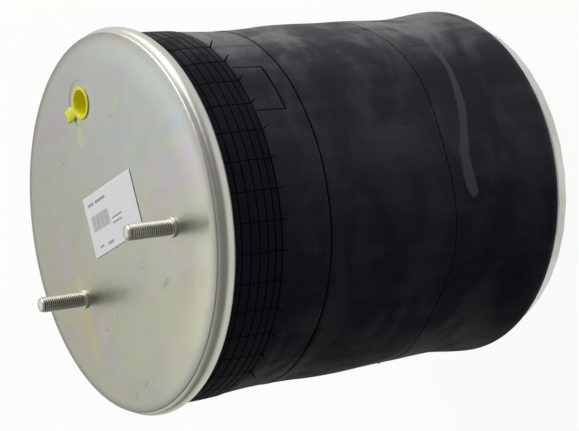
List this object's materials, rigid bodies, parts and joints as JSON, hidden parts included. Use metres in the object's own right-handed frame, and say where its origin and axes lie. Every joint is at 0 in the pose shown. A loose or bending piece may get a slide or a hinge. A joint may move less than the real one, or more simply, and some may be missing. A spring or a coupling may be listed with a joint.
{
  "type": "air bellows actuator",
  "caption": "Rolling-lobe air spring: rubber bellows crimped to a studded steel top plate and rolled down over a steel piston, with an air inlet plug.",
  "frame": {"origin": "centre of the piston's base, on the surface that the spring stands on", "axes": "+Z along the spring's axis from the piston to the bead plate; +Y from the axis towards the air inlet; the two studs are spaced along X"},
  "size_m": [0.2958, 0.2958, 0.3729],
  "materials": {
    "zinc_plated_steel": "satin zinc plating with a faint yellow-green sheen",
    "plain_steel": "plain rolled steel",
    "bellows_rubber": "matt moulded rubber with a pale bloom",
    "bump_stop_rubber": "matt moulded rubber",
    "plug_plastic": "satin yellow moulding",
    "label_paper": "matt white sticker"
  },
  "bodies": {
    "piston_assembly": {"piston_shell": "zinc_plated_steel", "piston_base_plate": "zinc_plated_steel", "piston_centre_tube": "plain_steel", "base_nut_1": "zinc_plated_steel", "base_nut_2": "zinc_plated_steel", "bead_retainer": "plain_steel", "clamp_bolt": "zinc_plated_steel", "clamp_washer": "zinc_plated_steel", "clamp_nut": "zinc_plated_steel", "bump_stop": "bump_stop_rubber", "bump_stop_insert": "plain_steel", "bellows": "bellows_rubber", "lower_bead_wire": "plain_steel"},
    "plate_assembly": {"bead_plate": "zinc_plated_steel", "mounting_stud_1": "zinc_plated_steel", "mounting_stud_2": "zinc_plated_steel", "inlet_bush": "plain_steel", "upper_bead_wire": "plain_steel", "label": "label_paper"},
    "inlet_plug": {"inlet_plug": "plug_plastic"}
  },
  "joints": [
    {"name": "stroke", "type": "slide", "parent": "piston_assembly", "child": "plate_assembly", "axis": [0, 0, 1], "range_m": [0, 0.2], "deforming": ["bellows"]},
    {"name": "plug_pull", "type": "slide", "parent": "plate_assembly", "child": "inlet_plug", "axis": [0, 0, 1], "range_m": [0, 0.03]}
  ]
}
